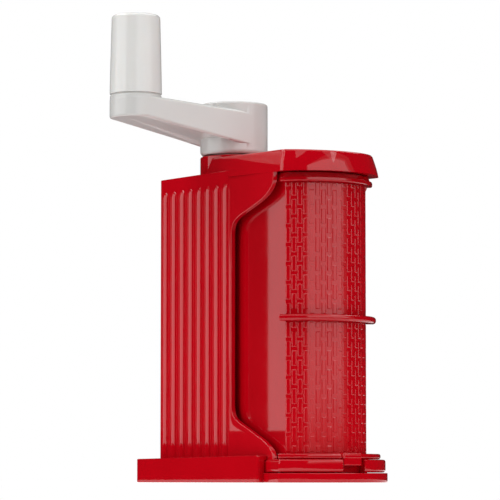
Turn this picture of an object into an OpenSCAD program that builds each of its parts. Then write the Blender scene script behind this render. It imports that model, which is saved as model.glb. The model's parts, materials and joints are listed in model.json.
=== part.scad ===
// Hand-held rotary cheese grater with a vertical drum.
// +X points to the pusher (front), -Y and +Y are the two sides, +Z is up.
// The origin lies on the crank axis, in the plane that the grater stands on.

/* [Housing] */
// Half width of the ribbed rear grip
grip_half = 17.2; // [17:0.1:18]
// Distance from the crank axis to the flat rear wall
grip_back = 30.3; // [29:0.1:32]
// Height of the roof of the rear grip
grip_top = 126.6; // [126:0.1:128]
// Wall thickness of the moulded shells
wall = 2; // [1.8:0.1:2.2]
// Ribs on each side of the grip
rib_count = 8; // [6:1:8]
// Distance from rib to rib
rib_pitch = 6.15; // [5.5:0.05:6.2]
// How far the ribs stand out of the wall
rib_out = 1.0; // [0.5:0.1:1.2]
// Radius of the rounded back of a rib
rib_r = 3.2; // [2.6:0.1:3.4]

/* [Pusher] */
// Distance from the crank axis to the axis of the round front
front_x = 49; // [48.5:0.1:49.5]
// Radius of the round front of the pusher
push_r = 24.1; // [23.5:0.1:24.3]
// Radius of the finger ring round the pusher
ring_r = 28.3; // [26:0.1:28.5]

/* [Lid and base] */
// Radius of the lower edge of the lid at the front
lid_r = 29.2; // [28.5:0.1:29.5]
// Radius of the front of the foot flange
flange_r = 31.9; // [31:0.1:32]
// Radius of the front of the base cover
base_r = 32.7; // [32.2:0.1:33]
// Half width of the base cover over its rails
base_half = 27.5; // [27:0.1:28]

/* [Drum and crank] */
// Outer radius of the grating drum
drum_r = 14; // [13:0.1:14]
// Distance from the crank axis to the knob axis
crank_len = 49.2; // [46:0.1:52]
// Radius of the knob at its foot
knob_r = 10.6; // [10:0.1:11]
// Radius of the drive shaft
shaft_r = 4; // [3.5:0.1:4]

/* [Hidden] */
$fn = 96;
flare = 0.1638;                 // widening of the sides per millimetre forward
wedge = 56;                     // half angle of the round front
flare_x = 20.5;                 // where the sides begin to widen
panel_x = 59.8;                 // front edge of the side panels
lid_flare = 0.143;              // the same widening for the sides of the lid
panel_flare = 0.17;             // and for the side panels of the housing
floor_z = 8.6;                  // top of the foot flange
seam_z = 122.1;                 // lower edge of the lid at the front
seam_back_z = 123.8;            // lower edge of the lid at the grip
red = [0.80, 0.02, 0.06];
white = [0.95, 0.94, 0.92];
steel = [0.78, 0.79, 0.80];

function side_y(r, x, f = flare) = r * sin(wedge) - f * (front_x + r * cos(wedge) - x);
function crease_x(r) = front_x + r * cos(wedge);
function panel_y(x) = grip_half + panel_flare * (x - flare_x);

// Drop-shaped prism: a round front of radius r and sides that narrow to x0.
module drop(r, x0, h, f = flare) {
    linear_extrude(h) polygon([[x0, -side_y(r, x0, f)], [crease_x(r), -r * sin(wedge)],
                               [crease_x(r), r * sin(wedge)], [x0, side_y(r, x0, f)]]);
    intersection() {
        translate([front_x, 0, 0]) cylinder(h = h, r = r);
        translate([crease_x(r) - 0.01, -r, 0]) cube([r, 2 * r, h]);
    }
}

// Outline of the same shape as points, for tapered shapes.
function drop_points(r, x0, f = flare) = concat(
    [[x0, -side_y(r, x0, f)]],
    [for (i = [0:24]) [front_x + r * cos(-wedge + i * wedge / 12), r * sin(-wedge + i * wedge / 12)]],
    [[x0, side_y(r, x0, f)]]);

// Tapered drop: lower outline r1 at z1, upper outline r2 on a top that falls from za at x0 to zb at xb.
module drop_taper(r1, z1, r2, za, zb, x0, xb) {
    hull() {
        translate([0, 0, z1]) linear_extrude(0.01) polygon(drop_points(r1, x0, lid_flare));
        intersection() {
            translate([0, 0, z1]) linear_extrude(za - z1) polygon(drop_points(r2, x0, lid_flare));
            rotate([90, 0, 0]) linear_extrude(100, center = true)
                polygon([[x0 - 1, z1], [x0 - 1, za + (za - zb) / (xb - x0)], [xb + 9, zb - 9 * (za - zb) / (xb - x0)], [xb + 9, z1]]);
        }
    }
}

module pocket_box(p, q) { translate(p) cube(q - p); }

// One round-backed grip rib along Z, with a domed head.
module rib(h) {
    cylinder(h = h - rib_r, r = rib_r, $fn = 48);
    translate([0, 0, h - rib_r]) sphere(r = rib_r, $fn = 48);
}

// Side window of the housing, cut through both panels.
module window() {
    rotate([90, 0, 0]) linear_extrude(80, center = true) polygon([
        [22.4, 30.6], [23, 28.4], [24.6, 26.4], [27.6, 24.8], [34, 22.4], [42, 19.6], [49, 17.2], [54, 15], [57.6, 12.6],
        [59.1, 10.8], [59.9, 8], [75, 8], [75, 123], [59.9, 123], [59.8, 120], [59.3, 118.3], [58.1, 116.6],
        [55.6, 114.8], [52, 113], [47.1, 111.4], [41, 109.9], [35, 108.5], [30, 107.2], [26.4, 105.8], [24, 104.3],
        [22.7, 102.6], [22.4, 100.5]]);
}

module body_shell() {
    color(red) difference() {
        union() {
            // rear grip with rounded rear corners
            translate([0, 0, floor_z]) {
                pocket_box([-grip_back + 2.4, -grip_half, 0], [flare_x, grip_half, grip_top - floor_z]);
                pocket_box([-grip_back, -grip_half + 2.4, 0], [0, grip_half - 2.4, grip_top - floor_z]);
                for (s = [-1, 1]) translate([-grip_back + 2.4, s * (grip_half - 2.4), 0]) cylinder(h = grip_top - floor_z, r = 2.4);
            }
            // widening side panels
            intersection() {
                translate([0, 0, floor_z]) linear_extrude(seam_back_z - floor_z) polygon([
                    [flare_x - 0.5, -panel_y(flare_x)], [flare_x, -panel_y(flare_x)], [panel_x, -panel_y(panel_x)],
                    [panel_x, panel_y(panel_x)], [flare_x, panel_y(flare_x)], [flare_x - 0.5, panel_y(flare_x)]]);
                rotate([90, 0, 0]) linear_extrude(80, center = true) polygon([
                    [flare_x - 1, 0], [panel_x + 1, 0], [panel_x + 1, seam_z - 0.06 + 0.3], [flare_x, seam_back_z - 0.06],
                    [flare_x - 1, seam_back_z - 0.06]]);
            }
            // grip ribs on both sides and on the back
            for (s = [-1, 1]) for (i = [0:rib_count - 1])
                translate([-25.5 + i * rib_pitch, s * (grip_half + rib_out - rib_r), floor_z]) rib(122.3 - floor_z);
            for (i = [-2:2])
                translate([-grip_back - rib_out + rib_r, i * rib_pitch, floor_z]) rib(122.3 - floor_z);
        }
        // inside of the grip
        pocket_box([-grip_back + wall, -grip_half + wall, floor_z - 1], [flare_x + 1, grip_half - wall, grip_top - wall]);
        // inside of the panels, open at the front and top
        translate([0, 0, floor_z - 1]) linear_extrude(140) polygon([
            [flare_x, -panel_y(flare_x) + wall], [panel_x + 5, -panel_y(panel_x + 5) + wall],
            [panel_x + 5, panel_y(panel_x + 5) - wall], [flare_x, panel_y(flare_x) - wall]]);
        window();
        // seat of the shaft bushing
        translate([0, 0, grip_top - 4]) cylinder(h = 8, r = 7.2);
        // holes for the lid screws
        for (p = [[16.5, 9.5], [16.5, -9.5], [-10.8, 0]]) translate([p[0], p[1], grip_top - 4]) cylinder(h = 8, r = 1.6);
    }
    // posts for the floor screws
    color(red) for (p = [[-26.3, 12], [-26.3, -12], [17.2, 12.6], [17.2, -12.6]])
        translate([p[0], p[1], floor_z]) difference() {
            union() {
                cylinder(h = 14, r = 2.8);
                translate([p[0] < 0 ? -3 : -1.2, p[1] > 0 ? 0 : -3.2, 0]) cube([p[0] < 0 ? 3 : 2.4, 3.2, 14]);
            }
            translate([0, 0, -1]) cylinder(h = 13, r = 1.25);
        }
}

module lid() {
    color(red) difference() {
        union() {
            // side skirt in line with the panels and round front
            difference() {
                drop_taper(lid_r, seam_z, 26.9, 133.2, 130.3, 2.5, 73);
                // lower edge rises towards the grip, and the lid stands on the grip's roof
                rotate([90, 0, 0]) linear_extrude(80, center = true) polygon([
                    [-40, 100], [panel_x + 1.2, 100], [panel_x + 1.2, seam_z - 0.01], [panel_x, seam_z + 0.24],
                    [flare_x + 0.2, seam_back_z], [flare_x + 0.2, grip_top], [-40, grip_top]]);
                // slanting rear end
                rotate([90, 0, 0]) linear_extrude(80, center = true) polygon([[-10, 120], [1, grip_top], [4.2, 134], [-10, 134]]);
            }
            // collar round the crank axis
            translate([0, 0, grip_top]) cylinder(h = 134.6 - grip_top, r = 14);
        }
        // hollow under the roof
        translate([0, 0, seam_z - 1]) intersection() {
            drop(lid_r - 4.4, flare_x + 0.2, 128.1 - seam_z + 1, lid_flare);
            translate([flare_x + 0.2, -50, 0]) cube([100, 100, 20]);
        }
        // bore for the bushing
        translate([0, 0, 120]) cylinder(h = 20, r = 7.2);
        // pilot holes for the lid screws
        for (p = [[16.5, 9.5], [16.5, -9.5], [-10.8, 0]]) translate([p[0], p[1], 120]) cylinder(h = 11.2, r = 1.25);
    }
}

module floor_plate() {
    color(red) difference() {
        union() {
            // round front with its flared ends
            translate([0, 0, 4.1]) drop(flange_r, 55, floor_z - 4.1);
            // plate that runs in the rails of the base cover
            translate([0, 0, 3.8]) pocket_box([-28.6, -23.9, 0], [55.2, 23.9, floor_z - 3.8]);
        }
        // notch at the front for the latch tongue
        pocket_box([front_x + flange_r - 4.5, -5.4, 3], [front_x + flange_r + 3, 5.4, 10]);
        // outlet under the drum, with the seat of the lower ring
        translate([0, 0, 0]) cylinder(h = 20, r = 12);
        translate([0, 0, 6.2]) cylinder(h = 20, r = drum_r + 0.3);
        // screw holes
        for (p = [[-26.3, 12], [-26.3, -12], [17.2, 12.6], [17.2, -12.6]]) {
            translate([p[0], p[1], 0]) cylinder(h = 20, r = 1.6);
            translate([p[0], p[1], 0]) cylinder(h = 6, r = 2.9);
        }
    }
}

module base_cover() {
    color(red) difference() {
        union() {
            drop(base_r, 45, 3.5);
            pocket_box([-31.6, -base_half, 0], [54.4, base_half, 3.5]);
            // side rails with a top that rises a little to the front, and the low rear wall
            for (s = [-1, 1]) rotate([90, 0, 0]) translate([0, 0, s > 0 ? -base_half : 24.2])
                linear_extrude(base_half - 24.2) polygon([[-31.6, 0], [54.4, 0], [54.4, 10.6], [-31.6, 9.7]]);
            // lips over the flange
            for (s = [-1, 1]) rotate([90, 0, 0]) translate([0, 0, s > 0 ? -24.5 : 23.1])
                linear_extrude(1.4) polygon([[-31.6, 8.9], [54.4, 8.9], [54.4, 10.6], [-31.6, 9.7]]);
            pocket_box([-31.6, -base_half, 0], [-29, base_half, 8.3]);
        }
    }
}

module pusher_shell() {
    color(red) difference() {
        union() {
            // textured round front and smooth side walls
            translate([0, 0, 11.2]) drop(push_r, 17, 119.9 - 11.2);
            // neck and rim under the lid
            translate([0, 0, 118.3]) drop(26.4, 40, 1.6);
            translate([0, 0, 119.8]) drop(25.9, 40, 2);
            translate([0, 0, 118.2]) intersection() {
                drop(27, 40, 1.8);
                translate([crease_x(27) - 1.4, -50, 0]) cube([100, 100, 20]);
            }
            // finger ring
            translate([0, 0, 63.2]) intersection() {
                drop(ring_r, 40, 2.6);
                translate([crease_x(ring_r) - 1.2, -50, 0]) cube([100, 100, 20]);
            }
            // bottom flange with the latch tongue
            translate([0, 0, 9.2]) intersection() {
                drop(29.9, 40, 2.1);
                translate([crease_x(29.9) - 1.2, -50, 0]) cube([100, 100, 20]);
            }
            pocket_box([front_x + 26, -4.6, 9.2], [front_x + 31, 4.6, 11.3]);
            pocket_box([front_x + 29.4, -4.6, 6.6], [front_x + 31, 4.6, 9.4]);
        }
        // hollow, open to the drum and at the bottom of the front
        translate([0, 0, 13.2]) drop(push_r - 1.9, 15, 119.8 - 13.2);
        // side walls reach behind the window edges, clear of the screw posts and the roof
        pocket_box([10, -60, 0], [21.4, 60, 24.4]);
        pocket_box([10, -60, 112], [21.4, 60, 200]);
    }
}

module press_plate() {
    color(white) {
        difference() {
            pocket_box([15.6, -10.6, 23.4], [18.2, 10.6, 116.5]);
            for (i = [0:8]) for (s = [-1, 1])
                pocket_box([15, s * 5.5 - 2.6, 27 + i * 9.9], [16.3, s * 5.5 + 2.6, 32.6 + i * 9.9]);
        }
        // webs that join it to the front of the pusher
        for (z = [25, 64, 106]) translate([0, 0, z]) linear_extrude(2.4) polygon([
            [18, -10.4], [62, -17.2], [68, -11], [71.3, -2.2], [71.3, 2.2], [68, 11], [62, 17.2], [18, 10.4]]);
    }
}

module grating_drum() {
    color(steel) translate([0, 0, 13]) difference() {
        cylinder(h = 99, r = drum_r);
        translate([0, 0, -1]) cylinder(h = 101, r = drum_r - 0.6);
    }
}

module drum_bottom_ring() {
    color(white) difference() {
        union() {
            translate([0, 0, 6.5]) cylinder(h = 6.5, r = drum_r);
            translate([0, 0, 13]) cylinder(h = 3, r = drum_r - 0.6);
        }
        translate([0, 0, 0]) cylinder(h = 40, r = 11.8);
    }
}

module drum_top_cap() {
    color(white) difference() {
        union() {
            translate([0, 0, 112]) cylinder(h = 3, r = drum_r);
            translate([0, 0, 109]) cylinder(h = 3.2, r = drum_r - 0.6);
            translate([0, 0, 112]) cylinder(h = 8.5, r = 7);
        }
        translate([0, 0, 110.6]) cylinder(h = 20, r = shaft_r);
        translate([0, 0, 105]) cylinder(h = 5, r = 9);
    }
}

module drive_shaft() {
    color(steel) difference() {
        translate([0, 0, 110.6]) cylinder(h = 40.4, r = shaft_r);
        translate([0, 0, 121.6]) difference() {
            cylinder(h = 1.2, r = 6);
            translate([0, 0, -1]) cylinder(h = 4, r = shaft_r - 0.6);
        }
        translate([0, 0, 139]) cylinder(h = 20, r = 1.6);
    }
}

module shaft_bushing() {
    color(white) difference() {
        union() {
            translate([0, 0, 123.2]) cylinder(h = 11.4, r = 7.2);
            translate([0, 0, 123.2]) cylinder(h = 1.4, r = 8.2);
        }
        translate([0, 0, 120]) cylinder(h = 20, r = shaft_r + 0.05);
    }
}

module thrust_washer() {
    color(white) translate([0, 0, 134.65]) difference() {
        cylinder(h = 0.55, r = 9);
        translate([0, 0, -1]) cylinder(h = 4, r = shaft_r);
    }
}

module retaining_ring() {
    color(steel) translate([0, 0, 121.6]) difference() {
        cylinder(h = 1.2, r = 6.2);
        translate([0, 0, -1]) cylinder(h = 4, r = shaft_r - 0.6);
        translate([0, -1.4, -1]) cube([10, 2.8, 4]);
    }
}

// Arm between the boss and the hub: underside and top both fall towards the hub.
module arm_body() {
    hull() {
        translate([0, -crank_len, 147.4]) cylinder(h = 8.6, r = knob_r);
        translate([0, 0, 138.4]) cylinder(h = 13.6, r = 14);
    }
}

module crank_arm() {
    color(white) difference() {
        union() {
            arm_body();
            translate([0, 0, 135.2]) cylinder(h = 1.8, r1 = 12.4, r2 = 14);
            translate([0, 0, 137]) cylinder(h = 19.7, r = 14);
            translate([0, -crank_len, 150]) cylinder(h = 6.6, r = knob_r - 0.2);
        }
        // socket for the shaft, screw hole and recess for the cap
        translate([0, 0, 130]) cylinder(h = 21, r = shaft_r);
        translate([0, 0, 150]) cylinder(h = 10, r = 2.1);
        translate([0, 0, 152.4]) cylinder(h = 10, r = 8);
        // seat of the knob axle
        translate([0, -crank_len, 149.5]) cylinder(h = 20, r = 3);
    }
}

module hub_screw() {
    color(steel) {
        translate([0, 0, 139.5]) cylinder(h = 13, r = 1.6);
        difference() {
            translate([0, 0, 152.4]) cylinder(h = 2.3, r = 3.6);
            for (a = [0, 90]) rotate([0, 0, a]) translate([-2, -0.5, 153.7]) cube([4, 1, 3]);
        }
    }
}

module hub_cap() {
    color(white) difference() {
        translate([0, 0, 154.8]) cylinder(h = 2.0, r = 8);
        translate([0, 0, 154.9]) cylinder(h = 0.1, r = 1);
    }
}

module crank_knob() {
    color(white) translate([0, -crank_len, 0]) difference() {
        union() {
            translate([0, 0, 157.2]) cylinder(h = 0.6, r1 = knob_r - 0.5, r2 = knob_r);
            translate([0, 0, 157.8]) cylinder(h = 30.5, r1 = knob_r, r2 = knob_r - 0.7);
            translate([0, 0, 188.3]) cylinder(h = 1.4, r1 = knob_r - 0.7, r2 = knob_r - 2);
        }
        translate([0, 0, 150]) cylinder(h = 37, r = 3.06);
        translate([0, 0, 182]) cylinder(h = 10, r = 6);
    }
}

module knob_axle() {
    color(steel) translate([0, -crank_len, 0]) {
        translate([0, 0, 149.5]) cylinder(h = 33.5, r = 3);
        translate([0, 0, 183]) cylinder(h = 2.2, r = 5);
    }
}

module knob_washer() {
    color(white) translate([0, -crank_len, 156.65]) difference() {
        cylinder(h = 0.45, r = 10.1);
        translate([0, 0, -1]) cylinder(h = 3, r = 3);
    }
}

module knob_plug() {
    color(white) translate([0, -crank_len, 0]) {
        translate([0, 0, 187]) cylinder(h = 2.4, r = 6);
        translate([0, 0, 189.4]) cylinder(h = 0.3, r1 = 6, r2 = 5.6);
    }
}

module lid_screws() {
    color(steel) for (p = [[16.5, 9.5], [16.5, -9.5], [-10.8, 0]]) translate([p[0], p[1], 0]) {
        translate([0, 0, 124.5]) cylinder(h = 6, r = 1.25);
        translate([0, 0, 122.6]) cylinder(h = 2, r = 2.4);
    }
}

module floor_screws() {
    color(steel) for (p = [[-26.3, 12], [-26.3, -12], [17.2, 12.6], [17.2, -12.6]]) translate([p[0], p[1], 0]) {
        translate([0, 0, 5.9]) cylinder(h = 12, r = 1.25);
        translate([0, 0, 4]) cylinder(h = 2, r = 2.6);
    }
}

body_shell();
lid();
floor_plate();
base_cover();
pusher_shell();
press_plate();
grating_drum();
drum_top_cap();
drum_bottom_ring();
drive_shaft();
shaft_bushing();
thrust_washer();
retaining_ring();
crank_arm();
hub_screw();
hub_cap();
crank_knob();
knob_axle();
knob_washer();
knob_plug();
lid_screws();
floor_screws();
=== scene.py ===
import bpy, bmesh, json, math, random
from mathutils import Vector, Matrix


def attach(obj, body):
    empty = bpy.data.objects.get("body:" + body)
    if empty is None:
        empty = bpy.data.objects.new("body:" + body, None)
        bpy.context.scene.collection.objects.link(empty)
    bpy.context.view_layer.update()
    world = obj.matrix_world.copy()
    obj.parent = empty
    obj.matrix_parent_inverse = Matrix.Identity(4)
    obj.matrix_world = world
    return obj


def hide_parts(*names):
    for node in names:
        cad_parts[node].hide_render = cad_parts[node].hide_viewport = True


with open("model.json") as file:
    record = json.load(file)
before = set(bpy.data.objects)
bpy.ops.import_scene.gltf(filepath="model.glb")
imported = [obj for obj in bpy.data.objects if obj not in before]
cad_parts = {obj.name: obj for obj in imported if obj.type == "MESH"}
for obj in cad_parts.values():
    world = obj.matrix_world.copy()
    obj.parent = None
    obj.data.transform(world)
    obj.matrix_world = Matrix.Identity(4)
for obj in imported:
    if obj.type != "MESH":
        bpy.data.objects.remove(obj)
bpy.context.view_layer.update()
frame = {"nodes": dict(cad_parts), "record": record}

NODES = frame["nodes"]
BODY_OF = {n: b for b, ns in frame["record"]["behaviour"]["bodies"].items() for n in ns}
MM = 0.001
scene = bpy.context.scene


# ---------------------------------------------------------------- materials
def new_mat(name):
    m = bpy.data.materials.new(name)
    m.use_nodes = True
    nt = m.node_tree
    bsdf = nt.nodes["Principled BSDF"]
    return m, nt, bsdf


def noise(nt, coord, scale, detail=2.0, rough=0.5, stretch=None):
    n = nt.nodes.new("ShaderNodeTexNoise")
    n.inputs["Scale"].default_value = scale
    n.inputs["Detail"].default_value = detail
    n.inputs["Roughness"].default_value = rough
    src = coord
    if stretch:
        mp = nt.nodes.new("ShaderNodeMapping")
        mp.inputs["Scale"].default_value = stretch
        nt.links.new(coord, mp.inputs["Vector"])
        src = mp.outputs["Vector"]
    nt.links.new(src, n.inputs["Vector"])
    return n.outputs["Fac"]


def ramp(nt, fac, stops):
    r = nt.nodes.new("ShaderNodeValToRGB")
    cr = r.color_ramp
    while len(cr.elements) < len(stops):
        cr.elements.new(0.5)
    for e, (p, c) in zip(cr.elements, stops):
        e.position = p
        e.color = (c[0], c[1], c[2], 1.0)
    nt.links.new(fac, r.inputs["Fac"])
    return r.outputs["Color"]


def map_range(nt, fac, lo, hi, a=0.3, b=0.7):
    n = nt.nodes.new("ShaderNodeMapRange")
    n.inputs["From Min"].default_value = a
    n.inputs["From Max"].default_value = b
    n.inputs["To Min"].default_value = lo
    n.inputs["To Max"].default_value = hi
    nt.links.new(fac, n.inputs["Value"])
    return n.outputs["Result"]


def bump(nt, height, strength, dist, prev=None):
    b = nt.nodes.new("ShaderNodeBump")
    b.inputs["Strength"].default_value = strength
    b.inputs["Distance"].default_value = dist
    nt.links.new(height, b.inputs["Height"])
    if prev is not None:
        nt.links.new(prev, b.inputs["Normal"])
    return b.outputs["Normal"]


def plastic(name, dark, light, rough=(0.10, 0.16), ior=1.49, coat=0.0, peel=0.03, grain=0.02, sss=0.0):
    m, nt, bsdf = new_mat(name)
    tc = nt.nodes.new("ShaderNodeTexCoord").outputs["Object"]
    cloud = noise(nt, tc, 38.0, 3.0, 0.55)
    nt.links.new(ramp(nt, cloud, [(0.30, dark), (0.70, light)]), bsdf.inputs["Base Color"])
    smear = noise(nt, tc, 160.0, 3.0, 0.6)
    nt.links.new(map_range(nt, smear, rough[0], rough[1]), bsdf.inputs["Roughness"])
    bsdf.inputs["IOR"].default_value = ior
    if coat:
        bsdf.inputs["Coat Weight"].default_value = coat
        bsdf.inputs["Coat Roughness"].default_value = 0.06
    if sss:
        bsdf.inputs["Subsurface Weight"].default_value = sss
        bsdf.inputs["Subsurface Radius"].default_value = (1.0, 0.75, 0.6)
        bsdf.inputs["Subsurface Scale"].default_value = 0.002
    n1 = bump(nt, noise(nt, tc, 260.0, 2.0, 0.5), peel, 0.0004)
    n2 = bump(nt, noise(nt, tc, 2600.0, 2.0, 0.6), grain, 0.0001, n1)
    nt.links.new(n2, bsdf.inputs["Normal"])
    return m


def steel(name, dark, light, rough=(0.22, 0.34), stretch=(1, 1, 30), scale=500.0):
    m, nt, bsdf = new_mat(name)
    tc = nt.nodes.new("ShaderNodeTexCoord").outputs["Object"]
    lines = noise(nt, tc, scale, 4.0, 0.6, stretch)
    nt.links.new(ramp(nt, lines, [(0.30, dark), (0.70, light)]), bsdf.inputs["Base Color"])
    nt.links.new(map_range(nt, lines, rough[0], rough[1]), bsdf.inputs["Roughness"])
    bsdf.inputs["Metallic"].default_value = 1.0
    nt.links.new(bump(nt, lines, 0.12, 0.00008), bsdf.inputs["Normal"])
    return m


RED = plastic("red_plastic", (0.485, 0.0005, 0.0062), (0.525, 0.0008, 0.0075), rough=(0.012, 0.024), peel=0.0006, grain=0.0006)
RED_P = plastic("red_pusher_plastic", (0.42, 0.0004, 0.0048), (0.455, 0.0006, 0.0058), rough=(0.012, 0.024), peel=0.0006, grain=0.0006)
RED_TEX = plastic("red_weave_plastic", (0.45, 0.0004, 0.005), (0.49, 0.0006, 0.006), rough=(0.10, 0.15), peel=0.01, grain=0.02)
WHITE = plastic("white_plastic", (0.68, 0.672, 0.655), (0.705, 0.697, 0.68), rough=(0.14, 0.20), peel=0.01, grain=0.02, sss=0.15)
KNOB = plastic("knob_plastic", (0.80, 0.794, 0.772), (0.83, 0.824, 0.802), rough=(0.10, 0.16), peel=0.01, grain=0.02, sss=0.15)
INNER = plastic("inner_plastic", (0.70, 0.685, 0.65), (0.75, 0.735, 0.70), rough=(0.34, 0.44), peel=0.03, grain=0.05, sss=0.1)
DRUM = steel("drum_steel", (0.56, 0.57, 0.58), (0.70, 0.71, 0.72), rough=(0.20, 0.32), stretch=(30, 30, 1.5), scale=120.0)
SHAFT = steel("turned_steel", (0.50, 0.51, 0.52), (0.66, 0.67, 0.68), rough=(0.18, 0.30), stretch=(1.5, 1.5, 40), scale=150.0)


# ---------------------------------------------------------------- mesh tools
def finish_piece(ob, body, slot, *nodes):
    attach(ob, body)
    if nodes:
        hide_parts(*nodes)
    return ob


def sub(a, b):
    return (a[0] - b[0], a[1] - b[1])


def fillet(pts, radii, n=6):
    """A closed outline with its corners rounded. radii is one number or one per corner."""
    out = []
    m = len(pts)
    for i in range(m):
        r = radii[i] if isinstance(radii, (list, tuple)) else radii
        p0, p, p1 = Vector(pts[i - 1]), Vector(pts[i]), Vector(pts[(i + 1) % m])
        a, b = (p0 - p), (p1 - p)
        la, lb = a.length, b.length
        a.normalize()
        b.normalize()
        ang = a.angle(b)
        if r <= 0 or ang > math.radians(177):
            out.append(tuple(p))
            continue
        t = min(r / math.tan(ang / 2), la * 0.49, lb * 0.49)
        rr = t * math.tan(ang / 2)
        c = p + (a + b).normalized() * (rr / math.sin(ang / 2))
        s0, s1 = p + a * t - c, p + b * t - c
        th0 = math.atan2(s0.y, s0.x)
        d = math.atan2(s1.y, s1.x) - th0
        while d > math.pi:
            d -= 2 * math.pi
        while d < -math.pi:
            d += 2 * math.pi
        for k in range(n + 1):
            t_ = th0 + d * k / n
            out.append((c.x + rr * math.cos(t_), c.y + rr * math.sin(t_)))
    return out


def inset(pts, d):
    """A closed counter-clockwise outline moved inward by d, corner by corner."""
    if d == 0:
        return list(pts)
    out = []
    m = len(pts)
    for i in range(m):
        p0, p, p1 = Vector(pts[i - 1]), Vector(pts[i]), Vector(pts[(i + 1) % m])
        e0, e1 = (p - p0), (p1 - p)
        if e0.length < 1e-9:
            e0 = e1
        if e1.length < 1e-9:
            e1 = e0
        n0 = Vector((-e0.y, e0.x)).normalized()
        n1 = Vector((-e1.y, e1.x)).normalized()
        nn = n0 + n1
        if nn.length < 1e-6:
            nn = n0
        nn.normalize()
        k = max(0.35, nn.dot(n0))
        out.append(tuple(p + nn * (d / k)))
    return out


def loft(rings, bm=None):
    """A closed solid through rings of 3-D points that all have the same count."""
    bm = bm or bmesh.new()
    rows = [[bm.verts.new(p) for p in ring] for ring in rings]
    m = len(rows[0])
    for a, b in zip(rows, rows[1:]):
        for i in range(m):
            j = (i + 1) % m
            bm.faces.new((a[i], a[j], b[j], b[i]))
    bm.faces.new(list(reversed(rows[0])))
    bm.faces.new(rows[-1])
    bm.normal_update()
    return bm


def rprism(pts, z0, z1, rb=0.5, rt=0.5, seg=4, bm=None, place=None):
    """An upright prism over an outline, its lower and upper edges rounded by rb and rt."""
    rings = []
    steps = []
    for k in range(seg + 1) if rb > 0 else [seg]:
        t = math.pi / 2 * k / seg
        steps.append((rb * (1 - math.sin(t)), z0 + rb * (1 - math.cos(t))))
    for k in range(seg + 1) if rt > 0 else [0]:
        t = math.pi / 2 * k / seg
        steps.append((rt * (1 - math.cos(t)), z1 - rt * (1 - math.sin(t))))
    for d, z in steps:
        ring = [(x, y, z) for x, y in inset(pts, d)]
        rings.append([place(p) for p in ring] if place else ring)
    return loft(rings, bm)


def lathe(profile, centre=(0, 0), n=96, bm=None):
    """A closed solid of revolution about Z. profile runs from the axis round and back to the axis, as (radius, height)."""
    bm = bm or bmesh.new()
    rows = []
    for r, z in profile:
        if r < 1e-6:
            rows.append([bm.verts.new((centre[0], centre[1], z))])
        else:
            rows.append([bm.verts.new((centre[0] + r * math.cos(2 * math.pi * i / n), centre[1] + r * math.sin(2 * math.pi * i / n), z)) for i in range(n)])
    for a, b in zip(rows, rows[1:]):
        for i in range(n):
            j = (i + 1) % n
            if len(a) == 1 and len(b) == 1:
                continue
            if len(a) == 1:
                bm.faces.new((a[0], b[j], b[i]))
            elif len(b) == 1:
                bm.faces.new((a[i], a[j], b[0]))
            else:
                bm.faces.new((a[i], a[j], b[j], b[i]))
    bmesh.ops.recalc_face_normals(bm, faces=bm.faces)
    return bm


def ring_profile(r0, r1, z0, z1, e=0.3, n=4):
    """Closed loop of a washer or sleeve with edges rounded by e, for tube()."""
    pts = []
    for (cx, cz, a0) in ((r1 - e, z0 + e, -90), (r1 - e, z1 - e, 0), (r0 + e, z1 - e, 90), (r0 + e, z0 + e, 180)):
        for k in range(n + 1):
            t = math.radians(a0 + 90 * k / n)
            pts.append((cx + e * math.cos(t), cz + e * math.sin(t)))
    return pts


def tube(loop, centre=(0, 0), n=96, bm=None, a0=0.0, a1=360.0):
    """A closed loop in (radius, height) swept round Z, a whole turn or from a0 to a1 with closed ends."""
    bm = bm or bmesh.new()
    full = abs(a1 - a0 - 360.0) < 1e-6
    k = n if full else n + 1
    rows = []
    for i in range(k):
        t = math.radians(a0 + (a1 - a0) * i / n)
        rows.append([bm.verts.new((centre[0] + r * math.cos(t), centre[1] + r * math.sin(t), z)) for r, z in loop])
    m = len(loop)
    for i in range(n):
        a, b = rows[i], rows[(i + 1) % k]
        for j in range(m):
            q = (j + 1) % m
            bm.faces.new((a[j], b[j], b[q], a[q]))
    if not full:
        bm.faces.new(list(reversed(rows[0])))
        bm.faces.new(rows[-1])
    bmesh.ops.recalc_face_normals(bm, faces=bm.faces)
    return bm


def box(p, q, r=0.0, bm=None):
    pts = [(p[0], p[1]), (q[0], p[1]), (q[0], q[1]), (p[0], q[1])]
    if r:
        pts = fillet(pts, r * 1.4, 4)
    return rprism(pts, p[2], q[2], r, r, 4, bm)


def solid(bm, name="tmp"):
    """A mesh object in millimetres, used while a piece is being cut and joined."""
    me = bpy.data.meshes.new(name)
    bmesh.ops.recalc_face_normals(bm, faces=bm.faces)
    bm.to_mesh(me)
    bm.free()
    ob = bpy.data.objects.new(name, me)
    scene.collection.objects.link(ob)
    return ob


def combine(a, op, *others):
    """a joined with, cut by or kept inside each of the others, which are used up."""
    for b in others:
        if isinstance(b, bmesh.types.BMesh):
            b = solid(b)
        md = a.modifiers.new("b", "BOOLEAN")
        md.operation = op
        md.solver = "EXACT"
        md.object = b
        dg = bpy.context.evaluated_depsgraph_get()
        me = bpy.data.meshes.new_from_object(a.evaluated_get(dg))
        a.modifiers.clear()
        old = a.data
        a.data = me
        bpy.data.meshes.remove(old)
        bpy.data.meshes.remove(b.data)
    return a


def union(a, *others):
    return combine(a, "UNION", *others)


def cut(a, *others):
    return combine(a, "DIFFERENCE", *others)


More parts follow.
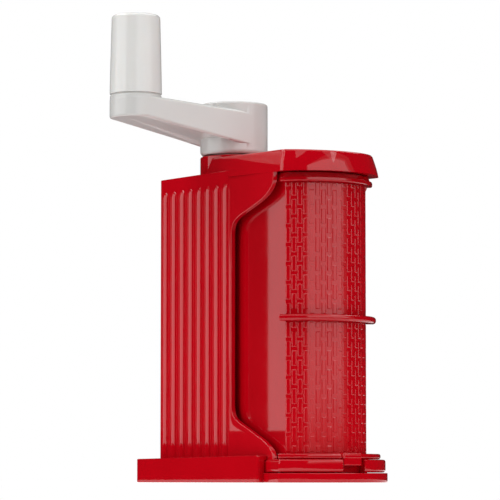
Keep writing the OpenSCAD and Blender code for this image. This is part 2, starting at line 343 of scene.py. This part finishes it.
def done(ob, name, mat, body, slot, nodes, sharp=32.0, edge=0.0, seg=2):
    """Turns a working solid into a finished piece in metres."""
    bm = bmesh.new()
    bm.from_mesh(ob.data)
    bmesh.ops.remove_doubles(bm, verts=bm.verts, dist=1e-4)
    bmesh.ops.dissolve_degenerate(bm, edges=bm.edges, dist=1e-4)
    bmesh.ops.scale(bm, vec=(MM, MM, MM), verts=bm.verts)
    for f in bm.faces:
        f.smooth = True
        f.material_index = 0
    lim = math.radians(sharp)
    for e in bm.edges:
        e.smooth = not (len(e.link_faces) == 2 and e.calc_face_angle(0) > lim)
    old = ob.data
    me = bpy.data.meshes.new(name)
    bm.to_mesh(me)
    bm.free()
    me.materials.clear()
    me.materials.append(mat)
    ob.data = me
    bpy.data.meshes.remove(old)
    ob.name = name
    if edge:
        b = ob.modifiers.new("edge", "BEVEL")
        b.width = edge * MM
        b.segments = seg
        b.limit_method = "ANGLE"
        b.angle_limit = math.radians(50)
        b.harden_normals = True
    w = ob.modifiers.new("wn", "WEIGHTED_NORMAL")
    w.keep_sharp = True
    w.weight = 60
    return finish_piece(ob, body, slot, *nodes)


# ---------------------------------------------------------------- the object's own numbers, in millimetres
GRIP_HALF, GRIP_BACK, GRIP_TOP = 17.2, 30.3, 126.6
FRONT_X, WEDGE, FLARE, FLARE_X, PANEL_X = 49.0, 56.0, 0.1638, 20.5, 59.8
FLOOR_Z, SEAM_Z, SEAM_BACK_Z, LID_FLARE, PANEL_FLARE = 8.6, 122.1, 123.8, 0.143, 0.170
RIB_R, RIB_OUT, RIB_PITCH = 3.2, 1.0, 6.15
CRANK = 49.2
SW, CW = math.sin(math.radians(WEDGE)), math.cos(math.radians(WEDGE))


def side_y(r, x, f=FLARE):
    return r * SW - f * (FRONT_X + r * CW - x)


def crease_x(r):
    return FRONT_X + r * CW


def panel_y(x):
    return GRIP_HALF + PANEL_FLARE * (x - FLARE_X)


def drop(r, x0, n=56, corner=0.8, rear=0.6, f=FLARE):
    """Outline with a round front of radius r and flat sides that narrow to x0, counter-clockwise."""
    arc = [(FRONT_X + r * math.cos(math.radians(a)), r * math.sin(math.radians(a))) for a in [-WEDGE + 2 * WEDGE * i / n for i in range(n + 1)]]
    a, b = (x0, -side_y(r, x0, f)), (x0, side_y(r, x0, f))
    lead = fillet([a, arc[0], arc[3], b], [rear, corner, 0, rear], 6)
    # rounded rear corner, rounded crease, arc, rounded crease, rounded rear corner
    near = lead[:14]
    k = max(2, int(n * 1.2 * corner / (r * math.radians(2 * WEDGE))) + 2)
    far = [(x, -y) for x, y in reversed(near)]
    return near + arc[k:-k] + far


def smooth_line(pts, times=2):
    """Chaikin corner cutting of an open line."""
    for _ in range(times):
        out = [pts[0]]
        for a, b in zip(pts, pts[1:]):
            out.append((a[0] * 0.75 + b[0] * 0.25, a[1] * 0.75 + b[1] * 0.25))
            out.append((a[0] * 0.25 + b[0] * 0.75, a[1] * 0.25 + b[1] * 0.75))
        out.append(pts[-1])
        pts = out
    return pts


def wedge(pts, half=60.0):
    """A block across the whole object with the given outline in (x, z)."""
    bm = bmesh.new()
    a = [bm.verts.new((x, -half, z)) for x, z in pts]
    b = [bm.verts.new((x, half, z)) for x, z in pts]
    bm.faces.new(a)
    bm.faces.new(list(reversed(b)))
    for i in range(len(pts)):
        j = (i + 1) % len(pts)
        bm.faces.new((a[i], b[i], b[j], a[j]))
    return bm


# ---------------------------------------------------------------- housing
def make_body():
    z0 = FLOOR_Z
    outer = fillet([(-GRIP_BACK, -GRIP_HALF), (FLARE_X, -GRIP_HALF), (FLARE_X, GRIP_HALF), (-GRIP_BACK, GRIP_HALF)], [2.4, 0, 0, 2.4], 10)
    body = solid(rprism(outer, z0 - 1.3, GRIP_TOP, 0, 0.35, 4), "housing_shell")
    # ribs: round-backed bars with domed heads
    ribs = []
    top = 122.3
    for s in (-1, 1):
        for i in range(8):
            ribs.append((-25.5 + i * RIB_PITCH, s * (GRIP_HALF + RIB_OUT - RIB_R)))
    for i in range(-2, 3):
        ribs.append((-GRIP_BACK - RIB_OUT + RIB_R, i * RIB_PITCH))
    for x, y in ribs:
        prof = [(0, z0 - 2.1)] + [(RIB_R, z0 - 2.1)] + [(RIB_R * math.cos(math.radians(t)), top - RIB_R * 1.25 + RIB_R * 1.25 * math.sin(math.radians(t))) for t in range(0, 90, 9)] + [(0, top)]
        body = union(body, lathe(prof, (x, y), 72))
    # flared side panels with the window cut into a C
    win = [(22.4, 31.2), (22.8, 28.6), (24.4, 26.2), (27.6, 24.6), (34, 22.4), (42, 19.6), (49, 17.2), (54, 15), (57.8, 12.6), (59.2, 10.6), (59.75, 8.6), (59.8, 4.0)]
    wtop = [(59.8, 121.4), (59.75, 119.9), (59.3, 118.3), (58.1, 116.6), (55.6, 114.8), (52, 113), (47.1, 111.4), (41, 109.9), (35, 108.5), (30, 107.3), (26.2, 106.0), (23.7, 104.4), (22.6, 102.4), (22.4, 100.0)]
    line = [(17.6, 4.0)] + list(reversed(smooth_line(win, 2))) + list(reversed(smooth_line(wtop, 2))) + [(59.9, SEAM_Z + 1.9), (FLARE_X, SEAM_BACK_Z + 1.9), (17.6, SEAM_BACK_Z + 1.9)]
    seam = [(-40, SEAM_BACK_Z + 30), (-40, GRIP_TOP + 1), (FLARE_X + 0.02, GRIP_TOP + 1), (FLARE_X + 0.02, SEAM_BACK_Z - 0.06), (PANEL_X + 2, SEAM_Z - 0.06), (PANEL_X + 2, SEAM_BACK_Z + 30)]
    c9 = 1.0 / math.sqrt(1 + PANEL_FLARE * PANEL_FLARE)
    for s in (-1, 1):
        def place(p, s=s):
            # p = (x along the body, height, depth inward from the outer face)
            x, z, d = p
            return (x + d * PANEL_FLARE * c9, s * (panel_y(x) - d * c9), z)
        rings = []
        R, seg = 0.32, 4
        steps = [(R * (1 - math.sin(math.pi / 2 * k / seg)), R * (1 - math.cos(math.pi / 2 * k / seg))) for k in range(seg + 1)]
        steps += [(0.35 * (1 - math.cos(math.pi / 2 * k / 3)), 2.0 - 0.35 * (1 - math.sin(math.pi / 2 * k / 3))) for k in range(4)]
        for d_in, dep in steps:
            ring = inset(line, d_in)
            rings.append([place((x, z, dep)) for x, z in ring])
        body = union(body, loft(rings))
    body = cut(body, wedge(seam))
    # inner spaces
    body = cut(body, box((-GRIP_BACK + 2, -GRIP_HALF + 2, z0 - 5), (FLARE_X - 0.4, GRIP_HALF - 2, GRIP_TOP - 2)))
    body = cut(body, box((FLARE_X - 1.3, -GRIP_HALF + 2.03, z0 - 5), (FLARE_X + 3, GRIP_HALF - 2.03, GRIP_TOP - 2.02)))
    body = cut(body, lathe([(0, 122), (7.2, 122), (7.2, 130), (0, 130)], n=64))
    for p in ((16.5, 9.5), (16.5, -9.5), (-10.8, 0)):
        body = cut(body, lathe([(0, 120), (1.6, 120), (1.6, 130), (0, 130)], p, 24))
    for p in ((-26.3, 12), (-26.3, -12), (17.2, 12.6), (17.2, -12.6)):
        sx = 1 if p[1] > 0 else -1
        if p[0] < 0:
            body = union(body, box((p[0] - 3, min(p[1], p[1] + sx * 3.2), z0 - 3), (p[0] + 0.05, max(p[1], p[1] + sx * 3.2), z0 + 13.9)))
        else:
            body = union(body, box((p[0] - 1.2, min(p[1], p[1] + sx * 3.6), z0 - 3), (p[0] + 1.17, max(p[1], p[1] + sx * 3.6), z0 + 13.9)))
        body = union(body, lathe([(0, z0 - 4), (2.8, z0 - 4), (2.8, z0 + 13.6), (2.4, z0 + 14), (0, z0 + 14)], p, 36))
        body = cut(body, lathe([(0, z0 - 6), (1.25, z0 - 6), (1.25, z0 + 12), (0, z0 + 12)], p, 22))
    # level foot
    body = cut(body, box((-60, -60, -10), (90, 60, z0)))
    return done(body, "housing_shell", RED, "housing", "red_shell", ["body_shell"])


make_body()


def make_lid():
    zt = lambda x: 133.3 + (130.5 - 133.3) * (x - 2.5) / 70.5
    lo = drop(29.55, -6.0, corner=3.0, rear=1.8, f=LID_FLARE)
    hi = drop(27.0, -6.0, corner=3.0, rear=1.8, f=LID_FLARE)
    rings = []
    e = 0.6
    for k in range(0, 13):
        t = k / 12.0
        ring = []
        for (x0, y0), (x1, y1) in zip(lo, hi):
            zz = (SEAM_Z - 1.0) * (1 - t) + (zt(x1) - e) * t
            u = max(0.0, min(1.0, (zz - SEAM_Z) / (zt(x1) - SEAM_Z))) ** 1.25
            ring.append((x0 + (x1 - x0) * u, y0 + (y1 - y0) * u, zz))
        rings.append(ring)
    for k in range(1, 6):
        t = math.pi / 2 * k / 5
        d = e * (1 - math.cos(t))
        ring = [(x, y, zt(x) - e * (1 - math.sin(t))) for x, y in inset(hi, d)]
        rings.append(ring)
    lid = solid(loft(rings), "lid")
    # lower edge and slanting rear end
    lid = cut(lid, wedge([(-40, 100), (100, 100), (100, SEAM_Z), (PANEL_X + 1.0, SEAM_Z), (PANEL_X, SEAM_Z + 0.04), (FLARE_X + 0.03, SEAM_BACK_Z - 0.02), (FLARE_X + 0.03, GRIP_TOP - 0.02), (-40, GRIP_TOP - 0.02)]))
    lid = cut(lid, wedge([(-40, 110), (1.0, GRIP_TOP - 0.03), (1.4, 128.6), (4.2, 134), (4.4, 140), (-40, 140)]))
    collar = [(0, GRIP_TOP - 0.02), (14, GRIP_TOP - 0.02)] + [(14 - 0.5 + 0.5 * math.cos(t), 134.6 - 0.5 + 0.5 * math.sin(t)) for t in [math.pi / 2 * k / 4 for k in range(5)]] + [(0, 134.6)]
    lid = union(lid, lathe(collar, n=120))
    hollow = drop(29.2 - 4.4, FLARE_X + 0.2, corner=0.5, rear=0.5, f=LID_FLARE)
    lid = cut(lid, rprism(hollow, SEAM_Z - 5, 128.1, 0, 0.5, 3))
    lid = cut(lid, lathe([(0, 110), (7.2, 110), (7.2, 150), (0, 150)], n=96))
    for p in ((16.5, 9.5), (16.5, -9.5), (-10.8, 0)):
        lid = cut(lid, lathe([(0, 120), (1.25, 120), (1.25, 131), (0, 131.2)], p, 24))
    return done(lid, "lid_cover", RED, "housing", "red_lid", ["lid"], edge=0.15)


make_lid()


# ---------------------------------------------------------------- pusher
def arc_strip(r_in, r_out, z0, z1, e, a=WEDGE + 2.2, n=95):
    """A band round the front of the pusher with rounded outer edges, whose ends stop just behind the crease."""
    loop = [(r_in, z0), ]
    loop += [(r_out - e + e * math.cos(t), z0 + e + e * math.sin(t)) for t in [-math.pi / 2 + math.pi / 2 * k / 5 for k in range(6)]]
    loop += [(r_out - e + e * math.cos(t), z1 - e + e * math.sin(t)) for t in [math.pi / 2 * k / 5 for k in range(6)]]
    loop += [(r_in, z1)]
    return tube(loop, (FRONT_X, 0), n, a0=-a, a1=a)


def make_pusher():
    shell = solid(rprism(drop(24.1, 17.0, n=84, corner=0.45, rear=0.3), 11.2, 119.6, 0.3, 0), "pusher_shell")
    neck = [[(x, y, z) for x, y in drop(r, 40, corner=0.5)] for r, z in ((26.3, 118.42), (26.3, 119.3), (25.6, 121.6), (25.4, 121.8))]
    shell = union(shell, loft(neck))
    shell = union(shell, arc_strip(22.4, 27.0, 118.2, 120.0, 0.55))
    shell = union(shell, arc_strip(22.6, 28.3, 63.2, 65.8, 1.1))
    shell = union(shell, arc_strip(21.9, 29.9, 9.2, 11.3, 0.7))
    shell = union(shell, box((FRONT_X + 22.8, -4.6, 9.27), (FRONT_X + 31, 4.6, 11.52), 0.55))
    shell = union(shell, box((FRONT_X + 29.2, -4.45, 6.6), (FRONT_X + 30.9, 4.45, 11.0), 0.45))
    shell = cut(shell, rprism(drop(24.1 - 1.9, 15, n=84, corner=0.4), 13.2, 119.8, 0.4, 0.4))
    shell = cut(shell, box((10, -60, 0), (21.4, 60, 24.4)))
    shell = cut(shell, box((10, -60, 112), (21.4, 60, 200)))
    # basket weave: upright bars in staggered columns, standing out of the round front
    cols, rows, pitch, half = 20, 16, 7.45, 2 * WEDGE / 20.0
    bm = bmesh.new()
    r0 = 24.1
    for c in range(cols):
        ac = -WEDGE + (c + 0.5) * half
        w = math.degrees(2.0 / r0)
        for k in range(-1, rows + 1):
            z_lo = 12.0 + k * pitch + (pitch / 2 if c % 2 else 0.0)
            z_hi = z_lo + 6.2
            for lo_lim, hi_lim in ((11.5, 63.0), (66.0, 117.9)):
                a, b = max(z_lo, lo_lim), min(z_hi, hi_lim)
                if b - a > 0.9:
                    weave_bar(bm, r0, ac - w / 2, ac + w / 2, a, b)
    # plain skin of the weave between its bars
    for a, b in ((11.6, 62.9), (66.1, 117.8)):
        weave_bar(bm, r0, -WEDGE + 0.6, WEDGE - 0.6, a, b, h=0.03, e=0.03, na=90)
    weave = bm
    bmesh.ops.recalc_face_normals(weave, faces=weave.faces)
    ob = done(shell, "pusher_cover", RED_P, "pusher", "red_pusher", ["pusher_shell"])
    # the weave is moulded in one with the cover
    bmesh.ops.scale(weave, vec=(MM, MM, MM), verts=weave.verts)
    for f in weave.faces:
        f.smooth = False
    me = bpy.data.meshes.new("weave")
    weave.to_mesh(me)
    weave.free()
    me.materials.append(RED_TEX)
    wv = bpy.data.objects.new("pusher_weave", me)
    scene.collection.objects.link(wv)
    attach(wv, "pusher")
    return ob


def weave_bar(bm, r, a0, a1, z0, z1, h=0.18, e=0.34, na=4):
    """One raised bar of the weave on the cylinder of radius r, with rounded shoulders."""
    ea = math.degrees(e / r)
    rings = []
    for hh, d in ((-0.25, 0.0), (0.0, 0.0), (h, 1.0)):
        da, dz = d * ea, d * e
        lo_a, hi_a, lo_z, hi_z = a0 + da, a1 - da, z0 + dz, z1 - dz
        ring = []
        for i in range(na + 1):
            ring.append((lo_a + (hi_a - lo_a) * i / na, lo_z))
        for i in range(na + 1):
            ring.append((hi_a + (lo_a - hi_a) * i / na, hi_z))
        rings.append([bm.verts.new((FRONT_X + (r + hh) * math.cos(math.radians(t)), (r + hh) * math.sin(math.radians(t)), z)) for t, z in ring])
    m = len(rings[0])
    for p, q in zip(rings, rings[1:]):
        for i in range(m):
            j = (i + 1) % m
            bm.faces.new((p[i], p[j], q[j], q[i]))
    top = rings[-1]
    for i in range(na):
        bm.faces.new((top[i], top[i + 1], top[m - 2 - i], top[m - 1 - i]))
    bot = rings[0]
    for i in range(na):
        bm.faces.new((bot[m - 1 - i], bot[m - 2 - i], bot[i + 1], bot[i]))


make_pusher()


# ---------------------------------------------------------------- floor plate and base cover
def make_floor():
    front = solid(rprism(drop(31.9, 55, corner=1.4, rear=1.4), 3.95, FLOOR_Z + 0.45, 1.0, 0.9), "floor_plate")
    front = union(front, box((-28.6, -23.9, 3.8), (57.2, 23.9, FLOOR_Z - 0.02), 0.3))
    front = cut(front, box((FRONT_X + 31.9 - 4.5, -5.4, 3), (FRONT_X + 31.9 + 3, 5.4, 10)))
    front = cut(front, lathe([(0, 0), (12, 0), (12, 6.2), (14.3, 6.2), (14.3, 20), (0, 20)], n=96))
    for p in ((-26.3, 12), (-26.3, -12), (17.2, 12.6), (17.2, -12.6)):
        front = cut(front, lathe([(0, 0), (2.9, 0), (2.9, 6), (1.6, 6), (1.6, 20), (0, 20)], p, 32))
    return done(front, "foot_plate", RED_P, "housing", "red_shell", ["floor_plate"], edge=0.15)


make_floor()


def make_base():
    plate = fillet([(-31.6, -27.5), (54.4, -27.5), (54.4, 27.5), (-31.6, 27.5)], [1.4, 0.9, 0.9, 1.4], 5)

    def rise(p):
        x, y, z = p
        return (x, y, z * (9.7 + 0.9 * (x + 31.6) / 86.0) / 10.6)

    base = solid(rprism(plate, 0, 10.6, 0.4, 0.4, place=rise), "base_cover")
    # channel for the foot plate, its two lips, and the low rear wall
    base = cut(base, box((-29, -24.2, 3.5), (60, 24.2, 8.9)), box((-29, -23.1, 8.0), (60, 23.1, 20)), box((-40, -24.2, 8.3), (-28.5, 24.2, 20)))
    base = union(base, rprism(drop(32.7, 45, corner=1.3, rear=1.2), 0.02, 3.74, 0.35, 0.3))
    return done(base, "base_slide_cover", RED_P, "base", "red_shell", ["base_cover"], edge=0.12)


make_base()


# ---------------------------------------------------------------- crank and knob
def make_arm():
    """Arm between the boss and the hub, in one piece with both."""
    def outline(grow, n=40):
        ra, rb = 10.6 + grow, 14.0 + grow
        d = CRANK
        al = math.asin((rb - ra) / d)
        pts = []
        # counter-clockwise round the hub (at the origin), then the boss at -Y
        for i in range(n + 1):
            t = -al + (math.pi + 2 * al) * i / n
            pts.append((rb * math.cos(t), rb * math.sin(t)))
        for i in range(n + 1):
            t = math.pi + al + (math.pi - 2 * al) * i / n
            pts.append((ra * math.cos(t), -d + ra * math.sin(t)))
        return pts

    def zt(y):
        u = max(0.0, min(1.0, (-y - 4) / (CRANK - 4)))
        return 152.4 + (156.0 - 152.4) * u

    def zb(y):
        u = max(0.0, min(1.0, -y / CRANK))
        return 138.4 + (147.4 - 138.4) * u

    out = outline(0)
    e_t, e_b = 1.3, 0.9
    rings = []
    for k in range(6):
        t = math.pi / 2 * k / 5
        rings.append([(x, y, zb(y) + e_b * (1 - math.cos(t))) for x, y in inset(out, e_b * (1 - math.sin(t)))])
    for k in range(7):
        t = math.pi / 2 * k / 6
        rings.append([(x, y, zt(y) - e_t * (1 - math.sin(t))) for x, y in inset(out, e_t * (1 - math.cos(t)))])
    arm = solid(loft(rings), "crank_arm")
    # hub with a rounded rim and a recess for the cap
    e = 0.9
    prof = [(0, 135.2)] + [(14 - 1.7 + 1.7 * math.sin(t), 135.2 + 1.8 - 1.8 * math.cos(t)) for t in [math.pi / 2 * k / 8 for k in range(9)]] + [(14 - e + e * math.cos(t), 156.7 - e + e * math.sin(t)) for t in [math.pi / 2 * k / 6 for k in range(7)]] + [(8.6, 156.7), (8.0, 156.4), (8.0, 152.4), (0, 152.4)]
    arm = union(arm, lathe(prof, n=128))
    e = 0.3
    prof = [(0, 154)] + [(10.5, 154)] + [(10.5 - e + e * math.cos(t), 156.6 - e + e * math.sin(t)) for t in [math.pi / 2 * k / 4 for k in range(5)]] + [(0, 156.6)]
    arm = union(arm, lathe(prof, (0, -CRANK), 96))
    arm = cut(arm, lathe([(0, 130), (4, 130), (4, 151), (2.1, 151), (2.1, 153), (0, 153)], n=48))
    arm = cut(arm, lathe([(0, 149.5), (3, 149.5), (3, 160), (0, 160)], (0, -CRANK), 48))
    return done(arm, "crank_handle", WHITE, "crank", "white_crank", ["crank_arm"])


make_arm()


def make_knob():
    r0, r1, z0, z1 = 10.6, 9.9, 157.2, 189.7
    e = 0.45
    prof = [(3.06, z0), (r0 - 1.0, z0)]
    prof += [(r0 - e + e * math.cos(t), z0 + e + e * math.sin(t)) for t in [-math.pi / 2 + math.pi / 2 * k / 5 for k in range(6)]]
    for k in range(1, 12):
        u = k / 12.0
        prof.append((r0 + (r1 - r0) * u + 0.05 * math.sin(math.pi * u), z0 + 1.2 + (z1 - z0 - 3.6) * u))
    e = 1.5
    prof += [(r1 - e + e * math.cos(t), z1 - e + e * math.sin(t)) for t in [math.pi / 2 * k / 7 for k in range(8)]]
    prof += [(6.35, z1), (6.1, z1 - 0.25), (6.1, 182), (3.06, 182)]
    return done(solid(tube(prof, (0, -CRANK), 128)), "knob_grip", KNOB, "knob", "white_knob", ["crank_knob"], sharp=45)


make_knob()


# ---------------------------------------------------------------- drum
def make_drum():
    """Perforated sheet drum with rows of raised grating teeth."""
    r_o, r_i, z0, z1 = 14.0, 13.4, 13.0, 112.0
    bm = bmesh.new()
    n_a, n_z = 18, 22
    sa, sz = 360.0 / n_a, (z1 - z0 - 3.0) / n_z
    hole = [(math.cos(2 * math.pi * k / 8 + math.pi / 8), math.sin(2 * math.pi * k / 8 + math.pi / 8)) for k in range(8)]
    hw, hh = 1.15, 0.95
    key = {}

    def vert(a, z, r):
        k = (round((a % 360.0), 4), round(z, 4), round(r, 4))
        if k not in key:
            t = math.radians(a)
            key[k] = bm.verts.new((r * math.cos(t), r * math.sin(t), z))
        return key[k]

    def cell(a0, zc):
        """One cell of sheet with an eight-sided hole, whose lower lip stands out as a tooth."""
        a1 = a0 + sa
        am = a0 + sa / 2
        frame_pts = []
        corners = [(a1, zc + sz / 2), (am, zc + sz / 2), (a0, zc + sz / 2), (a0, zc), (a0, zc - sz / 2), (am, zc - sz / 2), (a1, zc - sz / 2), (a1, zc)]
        angs = [45, 90, 135, 180, 225, 270, 315, 0]
        for r, flip in ((r_o, False), (r_i, True)):
            outer = [vert(a, z, r) for a, z in corners]
            inner = []
            for g in angs:
                t = math.radians(g)
                a = am + math.degrees(hw * math.cos(t) / 14.0)
                z = zc + hh * math.sin(t)
                lift = 0.75 * max(0.0, -math.sin(t)) ** 2 if not flip else 0.55 * max(0.0, -math.sin(t)) ** 2
                zz = z + (0.35 * max(0.0, -math.sin(t)) ** 2)
                tt = math.radians(a)
                inner.append(bm.verts.new(((r + lift) * math.cos(tt), (r + lift) * math.sin(tt), zz)))
            for i in range(8):
                j = (i + 1) % 8
                f = (outer[i], outer[j], inner[j], inner[i])
                bm.faces.new(f if not flip else tuple(reversed(f)))
            frame_pts.append(inner)
        a_, b_ = frame_pts
        for i in range(8):
            j = (i + 1) % 8
            bm.faces.new((a_[j], a_[i], b_[i], b_[j]))

    lo = z0 + 1.5
    for row in range(n_z):
        zc = lo + (row + 0.5) * sz
        for c in range(n_a):
            cell(c * sa + (sa / 2 if row % 2 else 0.0), zc)
    # plain margins at both ends, on the same half-step points
    for za, zb_, row in ((z0, lo, 0), (lo + n_z * sz, z1, n_z - 1)):
        for r, flip in ((r_o, False), (r_i, True)):
            for c in range(2 * n_a):
                a0, a1 = c * sa / 2, (c + 1) * sa / 2
                f = (vert(a0, za, r), vert(a1, za, r), vert(a1, zb_, r), vert(a0, zb_, r))
                bm.faces.new(f if not flip else tuple(reversed(f)))
    for z, up in ((z0, False), (z1, True)):
        for c in range(2 * n_a):
            a0, a1 = c * sa / 2, (c + 1) * sa / 2
            f = (vert(a0, z, r_o), vert(a1, z, r_o), vert(a1, z, r_i), vert(a0, z, r_i))
            bm.faces.new(f if up else tuple(reversed(f)))
    bmesh.ops.recalc_face_normals(bm, faces=bm.faces)
    ob = solid(bm, "grater_drum")
    return done(ob, "perforated_drum", DRUM, "crank", "drum_steel", ["grating_drum"], sharp=50)


make_drum()

for n, mat in (
    ("press_plate", INNER), ("drum_top_cap", INNER), ("drum_bottom_ring", INNER), ("shaft_bushing", INNER),
    ("thrust_washer", INNER), ("knob_washer", INNER), ("drive_shaft", SHAFT), ("retaining_ring", SHAFT),
    ("hub_screw", SHAFT), ("knob_axle", SHAFT), ("lid_screws", SHAFT),
    ("floor_screws", SHAFT), ("hub_cap", WHITE), ("knob_plug", KNOB),
):
    me = NODES[n].data
    me.materials.clear()
    me.materials.append(mat)


# ---------------------------------------------------------------- stage
def plane(name, size, z):
    bm = bmesh.new()
    bmesh.ops.create_grid(bm, x_segments=2, y_segments=2, size=size)
    me = bpy.data.meshes.new(name)
    bm.to_mesh(me)
    bm.free()
    ob = bpy.data.objects.new(name, me)
    ob.location.z = z
    scene.collection.objects.link(ob)
    return ob


floor = plane("studio_floor", 0.26, -0.00005)
m, nt, bsdf = new_mat("floor_paper")
tc = nt.nodes.new("ShaderNodeTexCoord").outputs["Object"]
nt.links.new(ramp(nt, noise(nt, tc, 3.0, 2.0), [(0.3, (0.58, 0.58, 0.58)), (0.7, (0.60, 0.60, 0.60))]), bsdf.inputs["Base Color"])
bsdf.inputs["Roughness"].default_value = 0.9
bsdf.inputs["Specular IOR Level"].default_value = 0.0
bsdf.inputs["Emission Color"].default_value = (1, 1, 1, 1)
bsdf.inputs["Emission Strength"].default_value = 0.62
floor.data.materials.append(m)


def direction(rel, el=0.0):
    """Unit vector at an angle rel (degrees, positive to the image's right) from the camera's side."""
    a = math.radians(-36.0 + rel)
    e = math.radians(el)
    return Vector((math.cos(a) * math.cos(e), math.sin(a) * math.cos(e), math.sin(e)))


CENTRE = Vector((0.02, 0.0, 0.0))


def softbox(name, where, facing, w, h, radiance):
    li = bpy.data.lights.new(name, "AREA")
    li.shape = "RECTANGLE"
    li.size = w
    li.size_y = h
    li.energy = radiance * math.pi * w * h
    ob = bpy.data.objects.new(name, li)
    ob.location = where
    ob.rotation_euler = facing.to_track_quat("-Z", "Y").to_euler()
    scene.collection.objects.link(ob)
    return ob


def card(name, rel0, rel1, z0, z1, radiance, dist=1.3):
    """An upright softbox whose side edges stand at the angles rel0 and rel1."""
    p, q = CENTRE + direction(rel0) * dist, CENTRE + direction(rel1) * dist
    mid = (p + q) / 2
    mid.z = (z0 + z1) / 2
    inward = Vector((CENTRE.x - (p.x + q.x) / 2, CENTRE.y - (p.y + q.y) / 2, 0.0)).normalized()
    return softbox(name, mid, inward, (p - q).length, z1 - z0, radiance)


card("box_right_core", 4, 72, 0.05, 1.0, 1.1)
card("box_right_mid", 3, 76, 0.04, 1.0, 0.35)
card("box_right_edge", 2, 84, 0.03, 1.0, 0.25)
card("box_left", -101, -45, 0.03, 1.0, 2.0)
card("box_left_high", -150, -50, 1.05, 1.7, 5.0)
card("box_right_high", 50, 140, 1.05, 1.7, 2.4)
card("box_front_high", -50, 50, 1.1, 1.7, 0.6)
card("strip_rear", -125.13, -120, 0.042, 0.255, 0.85)
softbox("box_top", CENTRE + direction(20, 78) * 1.3, -direction(20, 78), 1.4, 1.4, 1.2)

world = bpy.data.worlds.new("studio")
scene.world = world
world.use_nodes = True
wn = world.node_tree
for n in list(wn.nodes):
    wn.nodes.remove(n)
out = wn.nodes.new("ShaderNodeOutputWorld")
lp = wn.nodes.new("ShaderNodeLightPath")
bg_cam = wn.nodes.new("ShaderNodeBackground")
bg_cam.inputs["Color"].default_value = (1, 1, 1, 1)
bg_cam.inputs["Strength"].default_value = 1.0
bg_env = wn.nodes.new("ShaderNodeBackground")
bg_env.inputs["Color"].default_value = (1, 1, 1, 1)
bg_env.inputs["Strength"].default_value = 0.02
mix = wn.nodes.new("ShaderNodeMixShader")
wn.links.new(lp.outputs["Is Camera Ray"], mix.inputs["Fac"])
wn.links.new(bg_env.outputs[0], mix.inputs[1])
wn.links.new(bg_cam.outputs[0], mix.inputs[2])
wn.links.new(mix.outputs[0], out.inputs["Surface"])

scene.view_settings.view_transform = "Standard"
scene.view_settings.look = "None"

cam = bpy.data.cameras.new("camera")
cam.lens = 205.2
cam.sensor_width = 36.0
cam.clip_start = 0.05
cam.clip_end = 50.0
co = bpy.data.objects.new("camera", cam)
co.location = (0.9583, -0.6880, 0.0018)
th = math.radians(4.574)
look = Vector((-math.sin(math.radians(54)) * math.cos(th), math.cos(math.radians(54)) * math.cos(th), math.sin(th)))
co.rotation_euler = look.to_track_quat("-Z", "Y").to_euler()
scene.collection.objects.link(co)
scene.camera = co
